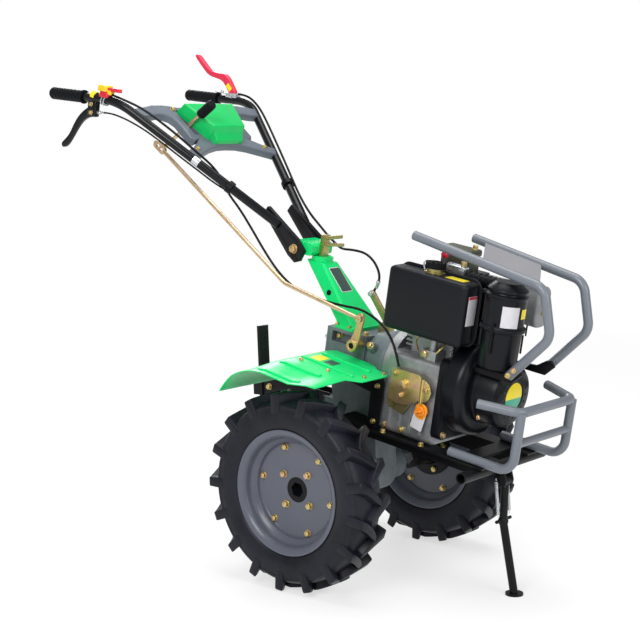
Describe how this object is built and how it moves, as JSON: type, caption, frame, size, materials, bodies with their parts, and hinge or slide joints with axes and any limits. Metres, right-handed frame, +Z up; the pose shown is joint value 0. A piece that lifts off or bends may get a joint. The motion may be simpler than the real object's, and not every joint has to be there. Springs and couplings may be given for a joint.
{
  "type": "walk-behind power weeder",
  "caption": "Two-wheel walk-behind power weeder with an open air-cooled diesel engine, lugged tyres, tilting handlebar, front bumper, guard bars and folding stand.",
  "frame": {"origin": "middle of the machine's box, on the floor it stands on", "axes": "+X forward towards the stand, +Y to the operator's left, +Z up"},
  "size_m": [1.62, 0.78, 1.4579],
  "materials": {
    "tyre_rubber": "moulded black rubber",
    "grip_rubber": "ribbed black rubber",
    "grey_paint": "satin blue-grey paint",
    "cast_grey": "painted grey casting",
    "black_paint": "satin black paint",
    "green_paint": "gloss bright green paint",
    "green_cover": "gloss bright green plastic",
    "grey_plastic": "moulded blue-grey plastic",
    "steel": "bare steel",
    "aluminium": "cast aluminium",
    "black_shroud": "satin black pressed steel",
    "black_plastic": "black plastic",
    "exhaust_grey": "heat-proof grey paint",
    "zinc_gold": "yellow passivated zinc",
    "red_plastic": "red plastic",
    "orange_plastic": "orange plastic"
  },
  "bodies": {
    "chassis": {"air_cleaner": "black_shroud", "bumper": "grey_paint", "clamp_levers": "zinc_gold", "clutch_arm": "zinc_gold", "clutch_cable": "black_plastic", "clutch_housing": "cast_grey", "column": "green_paint", "crankcase": "aluminium", "cross_tube": "black_paint", "cylinder": "aluminium", "cylinder_head": "aluminium", "decompression_knob": "red_plastic", "dipstick": "orange_plastic", "drag_bar": "black_paint", "engine_frame": "black_paint", "fan_shroud": "black_shroud", "fender_stays": "black_paint", "fuel_cap": "black_plastic", "fuel_tank": "black_shroud", "gear_case": "cast_grey", "governor_plate": "zinc_gold", "guard_brackets": "black_paint", "guard_plate": "grey_paint", "hitch": "black_paint", "injection_pump": "aluminium", "left_fender": "green_paint", "left_guard_bar": "grey_paint", "muffler": "exhaust_grey", "recoil_cover": "black_shroud", "right_fender": "green_paint", "right_guard_bar": "grey_paint", "shift_arm": "zinc_gold", "stand_springs": "steel", "throttle_cable": "black_plastic", "tilt_head": "green_paint"},
    "left_wheel": {"left_tyre": "tyre_rubber", "left_rim": "grey_paint", "left_hub": "black_paint", "left_axle": "steel"},
    "right_wheel": {"right_tyre": "tyre_rubber", "right_rim": "grey_paint", "right_hub": "black_paint", "right_axle": "steel"},
    "stand": {"stand_leg": "black_paint"},
    "handlebar": {"left_handle": "black_paint", "right_handle": "black_paint", "left_grip": "grip_rubber", "right_grip": "grip_rubber", "console_frame": "grey_plastic", "console_cover": "green_cover", "gear_lever": "zinc_gold", "gear_knob": "black_plastic", "right_lever": "black_paint", "throttle_lever": "red_plastic", "clutch_lever": "red_plastic"},
    "shift_rod": {"shift_rod": "zinc_gold"}
  },
  "joints": [
    {"name": "left_wheel_spin", "type": "hinge", "parent": "chassis", "child": "left_wheel", "pos_m": [0.16247, 0.315, 0.26938], "axis": [0, 1, 0], "continuous": true},
    {"name": "right_wheel_spin", "type": "hinge", "parent": "chassis", "child": "right_wheel", "pos_m": [0.16247, -0.315, 0.26938], "axis": [0, 1, 0], "continuous": true},
    {"name": "stand_fold", "type": "hinge", "parent": "chassis", "child": "stand", "pos_m": [0.6166, 0, 0.30477], "axis": [0, 1, 0], "range_deg": [0, 90], "deforming": ["stand_springs"]},
    {"name": "handlebar_tilt", "type": "hinge", "parent": "chassis", "child": "handlebar", "pos_m": [-0.06182, 0, 0.88606], "axis": [0, 1, 0], "range_deg": [-15, 15], "deforming": ["clutch_cable", "throttle_cable"]},
    {"name": "shift_rod_swing", "type": "hinge", "parent": "chassis", "child": "shift_rod", "pos_m": [0.22002, -0.122, 0.71587], "axis": [0, 1, 0], "range_deg": [-9.5, 9.5]}
  ],
  "couplings": [
    {"joint": "shift_rod_swing", "follows": "handlebar_tilt", "ratio": 0.626}
  ]
}
